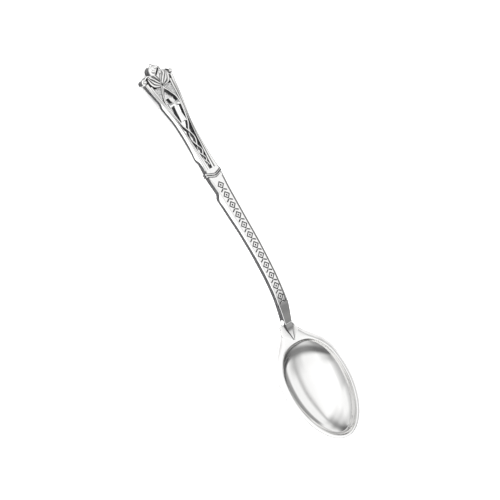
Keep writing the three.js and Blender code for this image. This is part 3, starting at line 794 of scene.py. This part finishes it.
def spandrels():
    """Matted plates between the arch and the ridges, their ground punched all over."""
    rng = np.random.default_rng(7)
    path = strand_path()
    width = 0.36
    top_x, foot_x = -52.5, -46.9
    xs = np.linspace(top_x, foot_x, 110)
    inner = np.interp(xs, path[:200, 0], path[:200, 1]) - width
    inner = np.where(xs < path[0, 0], -0.4, inner)
    outer = -open_half(xs) - 0.03
    across = 44
    share = np.linspace(0, 1, across)
    inner = np.maximum(inner, outer + 0.02)
    y = outer[:, None] + (inner - outer)[:, None] * share
    x = np.repeat(xs[:, None], across, axis=1)
    pits = np.zeros_like(x)
    for _ in range(150):
        px, py = rng.uniform(top_x, foot_x), rng.uniform(-3.4, -0.3)
        pits = np.maximum(pits, np.exp(-((x - px) ** 2 + (y - py) ** 2) / 0.012))
    z = -0.36 - 0.11 * pits
    top = np.stack([x, y, z], axis=2)
    base = np.stack([x, y, np.full_like(x, -1.5)], axis=2)
    rings = np.concatenate([top, base[:, ::-1]], axis=1)
    rim = smoothstep(0.14, 0.03, inner[:, None] - y)
    patina_and_shade = np.concatenate([np.maximum(0.03 + 0.6 * pits, rim), np.ones_like(pits)], axis=1).ravel()
    left = Mesh().add(drape(rings.reshape(-1, 3)), loft_faces(len(xs), rings.shape[1]), patina_and_shade)
    build("spandrel_plate_left", left, ["spandrel_left"], matted)
    build("spandrel_plate_right", mirror(left), ["spandrel_right"], matted)


# --- Finial -----------------------------------------------------------------------------------------

def petal(edge_a, edge_b, crown, base=-1.6, steps=44, across=14):
    """A closed strip with a domed face between two edge curves given in plan, dark along both edges."""
    a, b = spline(edge_a, steps), spline(edge_b, steps)
    share = np.linspace(0, 1, across)
    dome = np.sin(math.pi * share) ** 0.6
    rings, patina_and_shade = [], []
    for i in range(steps + 1):
        t = i / steps
        taper = math.sin(math.pi * min(0.5, 0.12 + t)) * (1 - 0.55 * t ** 3)
        plan = a[i] + (b[i] - a[i]) * share[:, None]
        top = np.column_stack([plan, crown * taper * dome - 0.02])
        foot = np.array([[*(b[i] + (a[i] - b[i]) * t), base] for t in (0, 0.15, 0.85, 1)])
        rings.append(np.vstack([top, foot]))
        patina_and_shade.append(np.concatenate([smoothstep(0.62, 0.35, dome), [1, 0, 0, 1]]))
    rings = np.array(rings)
    return drape(rings.reshape(-1, 3)), loft_faces(*rings.shape[:2]), np.concatenate(patina_and_shade)


def leaves():
    """Leaves of three broad ribs that sweep down from the scroll and gather at the handle's middle."""
    lines = [
        [(-56.6, 2.0), (-55.9, 1.95), (-55.0, 1.15), (-53.95, 0.32), (-53.3, 0.12)],
        [(-56.75, 3.1), (-55.75, 2.88), (-54.9, 2.12), (-54.1, 1.4), (-53.0, 0.2)],
        [(-56.2, 3.5), (-54.85, 3.0), (-53.8, 2.42), (-53.3, 1.6), (-52.8, 0.22)],
        [(-55.5, 3.75), (-54.15, 3.64), (-53.1, 3.0), (-52.6, 1.8), (-52.5, 0.12)],
    ]
    gap = np.array([0.05, 0.05])
    mesh = Mesh()
    for k, crown in enumerate([0.32, 0.28, 0.24]):
        near = [np.add(p, gap * (k > 0)) for p in lines[k]]
        points, faces, patina_and_shade = petal(near, lines[k + 1], crown)
        mesh.add(points, faces, patina_and_shade)
    build("leaf_ribbed_right", mesh, ["leaf_right"], soft_polished, sharp=60)
    build("leaf_ribbed_left", mirror(mesh), ["leaf_left"], soft_polished, sharp=60)


def ellipsoid(centre, radii, around=28, up=18):
    rings = []
    for phi in np.linspace(-math.pi / 2 + 0.02, math.pi / 2 - 0.02, up):
        angle = np.linspace(0, 2 * math.pi, around, endpoint=False)
        rings.append(np.column_stack([
            centre[0] + radii[0] * math.cos(phi) * np.cos(angle),
            centre[1] + radii[1] * math.cos(phi) * np.sin(angle),
            np.full(around, centre[2] + radii[2] * math.sin(phi)),
        ]))
    return np.vstack(rings), loft_faces(up, around)


def scrolls_and_balls():
    """The volutes: a band that leaves the leaf's top, rolls over the ball and tucks under it."""
    ball_z = float(front_height(BALL_X)) - BALL_DROP
    points, faces = ellipsoid((BALL_X, BALL_Y, ball_z), (BALL_RADIUS,) * 3)
    ball = Mesh().add(points, faces)
    build("ball_right_round", ball, ["ball_right"], polished, sharp=80)
    build("ball_left_round", mirror(ball), ["ball_left"], polished, sharp=80)

    radius = BALL_RADIUS + 0.1
    turn = np.radians(np.linspace(62, 205, 9))
    roll = np.column_stack([BALL_X - radius * np.sin(turn), BALL_Y - radius * np.cos(turn)])
    path = spline([(-56.5, 2.5), (-56.72, 3.1), (-56.55, 3.8), *roll], 90)
    taper = np.clip(np.linspace(1.25, 0.7, len(path)), 0, 1)

    def section(i):
        half = 0.13 * taper[i]
        # The band's walls get the painted dark reflection of the handle's sides.
        return [(-half, -THICKNESS + 0.1, SIDE_PAINTED_REFLECTION), (half, -THICKNESS + 0.1, SIDE_PAINTED_REFLECTION),
                (half, -0.2, SIDE_PAINTED_REFLECTION), (half, 0.0, 0.2), (half - 0.06, 0.1, 0), (-half + 0.06, 0.1, 0),
                (-half, 0.0, 0.4), (-half, -0.2, 1)]

    right = swept(path, section)
    build("scroll_right_band", right, ["scroll_right"], polished)
    build("scroll_left_band", mirror(right), ["scroll_left"], polished)


BUD_HALF_WIDTH = [
    (-59.1, 0.6), (-58.75, 1.5), (-57.9, 2.1), (-57.1, 2.18), (-56.2, 1.95), (-55.0, 1.15), (-53.9, 0.28),
    (-53.4, 0.03),
]
BUD_LOBES = [("left", -57.25, -0.95, 25, 1.75, 1.2), ("right", -56.45, 0.95, -30, 1.5, 1.0),
             ("upper", -58.05, 0.35, 80, 1.45, 0.95)]
BUD_SLOT = (-57.65, 1.05, -56.3, -0.35)
BUD_FURROWS = [(-56.1, 1.6, -53.9, 0.2), (-56.2, 0.85, -54.3, 0.0)]


def bud():
    """A bud on a domed plate, with a slanting slot and V-shaped furrows that meet at its point."""
    half = through(BUD_HALF_WIDTH)
    share = np.linspace(-1, 1, 72)
    rings, patina_and_shade = [], []
    for x in np.linspace(-59.1, -53.4, 110):
        h = float(half(x))
        y = h * share
        dome = 0.45 * math.sqrt(min(h / 2.1, 1)) * (1 - np.abs(share) ** 3.2)
        cut = stroke(np.full_like(y, x), y, *BUD_SLOT, 0.62)
        deep = 0.5 * smoothstep(0, 0.7, cut)
        dark = smoothstep(0.1, 0.5, cut)
        for ax, ay, bx, by in BUD_FURROWS:
            for side in (-1, 1):
                line = stroke(np.full_like(y, x), y, ax, side * ay, bx, side * by, 0.42)
                deep = np.maximum(deep, 0.22 * smoothstep(0, 0.9, line))
                dark = np.maximum(dark, smoothstep(0.3, 0.8, line))
        edge = smoothstep(0.93, 0.99, np.abs(share)) * 0.8
        top = np.column_stack([y, dome - deep, np.maximum(dark, edge)])
        # The bud's walls get the painted dark reflection of the handle's sides.
        walls = np.array([(h, -0.15, SIDE_PAINTED_REFLECTION), (h * 0.98, -2.1, SIDE_PAINTED_REFLECTION), (h * 0.9, -2.1, 0),
                          (-h * 0.9, -2.1, 0), (-h * 0.98, -2.1, SIDE_PAINTED_REFLECTION), (-h, -0.15, SIDE_PAINTED_REFLECTION)])
        section = np.vstack([top, walls])
        rings.append(np.column_stack([np.full(len(section), x), section[:, :2]]))
        patina_and_shade.append(section[:, 2])
    points = drape(np.vstack(rings))
    mesh = Mesh().add(points, loft_faces(len(rings), len(rings[0])), np.concatenate(patina_and_shade))
    build("bud_body", mesh, ["bud"], soft_polished, sharp=50)
    for word, x, y, angle, length, width in BUD_LOBES:
        lobe = petal_lobe(x, y, math.radians(angle), length, width)
        build(f"bud_lobe_{word}_petal", lobe, [f"bud_lobe_{word}"], soft_polished,
              sharp=50)


def petal_lobe(x, y, angle, length, width, height=0.5):
    """A small petal, pointed at both ends, with a crease along its back."""
    along = np.linspace(-1, 1, 26)
    across = np.linspace(-1, 1, 15)
    rings, patina_and_shade = [], []
    for t in along:
        half = width / 2 * max(1 - t * t, 0.0004) ** 0.8
        crown = height * (1 - t * t) ** 0.6
        rise = crown * (1 - across ** 2) ** 0.5 - 0.1 * crown * np.exp(-(across / 0.15) ** 2)
        px = x + length / 2 * t * math.cos(angle) - half * across * math.sin(angle)
        py = y + length / 2 * t * math.sin(angle) + half * across * math.cos(angle)
        top = np.column_stack([px, py, 0.3 + rise])
        foot = np.array([[px[-1], py[-1], 0.0], [px[0], py[0], 0.0]])
        rings.append(np.vstack([top, foot]))
        patina_and_shade.append(np.concatenate([smoothstep(0.9, 1.0, np.abs(across)) * 0.9, [1, 1]]))
    rings = np.array(rings)
    return Mesh().add(drape(rings.reshape(-1, 3)), loft_faces(*rings.shape[:2]), np.concatenate(patina_and_shade))


def knob():
    points, faces = ellipsoid((FINIAL_END_X + KNOB_RADIUS, 0, THICKNESS / 2), (KNOB_RADIUS,) * 3)
    build("cap_knob_round", Mesh().add(points, faces), ["cap_knob"], polished, sharp=80)


# --- Stage ------------------------------------------------------------------------------------------

def floor():
    material = bpy.data.materials.new("pale_table")
    material.use_nodes = True
    nodes, links = material.node_tree.nodes, material.node_tree.links
    shader = nodes["Principled BSDF"]
    where = nodes.new("ShaderNodeTexCoord")
    cloud = nodes.new("ShaderNodeTexNoise")
    cloud.inputs["Scale"].default_value = 12
    links.new(where.outputs["Object"], cloud.inputs["Vector"])
    tone = nodes.new("ShaderNodeMix")
    tone.data_type = "RGBA"
    tone.inputs["A"].default_value = (0.925, 0.925, 0.925, 1)
    tone.inputs["B"].default_value = (0.935, 0.935, 0.935, 1)
    links.new(cloud.outputs["Fac"], tone.inputs["Factor"])
    links.new(tone.outputs["Result"], shader.inputs["Base Color"])
    rough = nodes.new("ShaderNodeMapRange")
    rough.inputs["To Min"].default_value = 0.86
    rough.inputs["To Max"].default_value = 0.94
    links.new(cloud.outputs["Fac"], rough.inputs["Value"])
    links.new(rough.outputs["Result"], shader.inputs["Roughness"])
    grain = nodes.new("ShaderNodeTexNoise")
    grain.inputs["Scale"].default_value = 1500
    links.new(where.outputs["Object"], grain.inputs["Vector"])
    bump = nodes.new("ShaderNodeBump")
    bump.inputs["Strength"].default_value = 0.1
    bump.inputs["Distance"].default_value = 0.00002
    links.new(grain.outputs["Fac"], bump.inputs["Height"])
    links.new(bump.outputs["Normal"], shader.inputs["Normal"])
    shader.inputs["Specular IOR Level"].default_value = 0.1
    data = bpy.data.meshes.new("table")
    size = 3.0
    data.from_pydata([(-size, -size, 0), (size, -size, 0), (size, size, 0), (-size, size, 0)], [],
                     [(0, 1, 2, 3)])
    data.materials.append(material)
    table = bpy.data.objects.new("table", data)
    bpy.context.scene.collection.objects.link(table)


def camera():
    """A long lens from the spoon's left, high up, with the spoon turned in the frame."""
    azimuth, elevation, roll = np.radians([CAMERA_AZIMUTH, CAMERA_ELEVATION, CAMERA_ROLL]).tolist()
    back = np.array([-math.sin(azimuth) * math.cos(elevation), -math.cos(azimuth) * math.cos(elevation),
                     math.sin(elevation)])
    level = np.array([math.cos(azimuth), -math.sin(azimuth), 0.0])
    up = np.cross(back, level)
    right = level * math.cos(roll) - up * math.sin(roll)
    top = level * math.sin(roll) + up * math.cos(roll)
    width = CAMERA_WIDTH * MM
    centre = (CAMERA_AIM[0] * right + CAMERA_AIM[1] * top) * MM
    data = bpy.data.cameras.new("camera")
    data.lens = 200
    data.sensor_width = 36
    distance = width / (data.sensor_width / data.lens)
    cam = bpy.data.objects.new("camera", data)
    place = centre + back * distance
    cam.matrix_world = Matrix([[right[i], top[i], back[i], place[i]] for i in range(3)] + [[0, 0, 0, 1]])
    bpy.context.scene.collection.objects.link(cam)
    data.clip_start, data.clip_end = 0.05, 20
    bpy.context.scene.camera = cam


def studio():
    """A light tent seen by its direction: phi runs from 0 at the far horizon over the top to 180.

    The canopy is white with a grey seam, a white curtain hangs below it, and dark cards stand to
    both sides, so polished silver shows them as soft bands.
    """
    world = bpy.data.worlds.new("studio")
    bpy.context.scene.world = world
    world.use_nodes = True
    nodes, links = world.node_tree.nodes, world.node_tree.links
    where = nodes.new("ShaderNodeTexCoord")
    split = nodes.new("ShaderNodeSeparateXYZ")
    links.new(where.outputs["Generated"], split.inputs["Vector"])
    angle = nodes.new("ShaderNodeMath")
    angle.operation = "ARCTAN2"
    links.new(split.outputs["Z"], angle.inputs[0])
    links.new(split.outputs["Y"], angle.inputs[1])
    share = nodes.new("ShaderNodeMath")
    share.operation = "DIVIDE"
    share.inputs[1].default_value = math.pi
    links.new(angle.outputs[0], share.inputs[0])

    def band(stops):
        """A ramp over phi; stops are (degrees, brightness)."""
        ramp = nodes.new("ShaderNodeValToRGB")
        elements = ramp.color_ramp.elements
        for k, (degrees, value) in enumerate(stops):
            element = elements[k] if k < 2 else elements.new(degrees / 180)
            element.position = degrees / 180
            element.color = (value, value, value, 1)
        links.new(share.outputs[0], ramp.inputs["Fac"])
        return ramp.outputs["Color"]

    def across(low, high, first, second):
        """Blends two bands as the direction's sideways part goes from low to high."""
        fade = nodes.new("ShaderNodeMapRange")
        fade.interpolation_type = "SMOOTHSTEP"
        fade.inputs["From Min"].default_value = low
        fade.inputs["From Max"].default_value = high
        links.new(split.outputs["X"], fade.inputs["Value"])
        mix = nodes.new("ShaderNodeMix")
        mix.data_type = "RGBA"
        links.new(fade.outputs["Result"], mix.inputs["Factor"])
        links.new(first, mix.inputs["A"])
        links.new(second, mix.inputs["B"])
        return mix.outputs["Result"]

    middle = band([(0, 0.06), (180, 0.52), (7, 0.07), (12, 0.25), (26, 0.37), (29.5, 0.97), (43.5, 0.98),
                   (48, 0.5), (52.5, 1.0), (62, 1.12), (113, 1.1), (122, 0.88), (138, 0.68), (156, 0.55)])
    near_left = band([(0, 0.16), (180, 0.55), (8, 0.16), (11, 0.36), (15, 0.44), (18.5, 0.95), (33, 0.94),
                      (42, 0.7), (51, 0.4), (57, 0.48), (69, 0.82), (90, 1.08), (135, 1.0), (152, 0.76)])
    left = band([(0, 0.98), (180, 0.58), (12, 0.95), (24, 0.86), (33, 0.66), (42, 0.43), (51, 0.3),
                 (60, 0.34), (72, 0.66), (90, 0.82), (108, 1.02), (138, 1.0), (150, 0.82)])
    far_left = band([(0, 0.15), (180, 0.5), (50, 0.16), (64, 0.24), (78, 0.34), (95, 0.6), (130, 0.75)])
    near_right = band([(0, 0.06), (180, 0.6), (9, 0.09), (14, 0.27), (24.5, 0.37), (28, 0.9), (34, 0.97),
                       (47, 0.46), (56, 0.98), (82, 1.08), (95, 0.86), (115, 0.66), (135, 0.46), (152, 0.38)])
    card = band([(0, 0.07), (180, 0.2), (16, 0.06), (34, 0.2), (60, 0.27), (90, 0.17), (120, 0.15),
                 (150, 0.16)])
    right = band([(0, 0.12), (180, 0.4), (26, 0.14), (44, 0.72), (62, 0.72), (85, 0.56), (100, 0.4),
                  (150, 0.28)])
    colour = across(-0.56, -0.38, left, near_left)
    colour = across(-0.95, -0.65, far_left, colour)
    colour = across(-0.36, -0.2, colour, middle)
    colour = across(0.14, 0.3, colour, near_right)
    colour = across(0.35, 0.48, colour, card)
    colour = across(0.56, 0.8, colour, right)
    ray = nodes.new("ShaderNodeLightPath")
    seen = nodes.new("ShaderNodeMix")
    seen.data_type = "RGBA"
    seen.inputs["A"].default_value = (1.9, 1.9, 1.9, 1)
    links.new(ray.outputs["Is Glossy Ray"], seen.inputs["Factor"])
    links.new(colour, seen.inputs["B"])
    links.new(seen.outputs["Result"], nodes["Background"].inputs["Color"])

    lamp = bpy.data.lights.new("softbox", "AREA")
    lamp.shape = "DISK"
    lamp.size = 1.4
    lamp.energy = 4
    softbox = bpy.data.objects.new("softbox", lamp)
    softbox.location = (0, 0, 0.8)
    softbox.visible_glossy = False
    bpy.context.scene.collection.objects.link(softbox)


bowl()
neck()
tongue()
stem()
stem_borders()
collar("collar_moulding_upper", "collar_upper", COLLAR_POINT_X - MOULDING_SPACING)
collar("collar_moulding_lower", "collar_lower", COLLAR_POINT_X)
rails()
ridges()
strand(-1, 1)
strand(1, -1)
cross()
spandrels()
leaves()
scrolls_and_balls()
bud()
knob()
floor()
camera()
studio()
bpy.context.scene.view_settings.view_transform = "Standard"
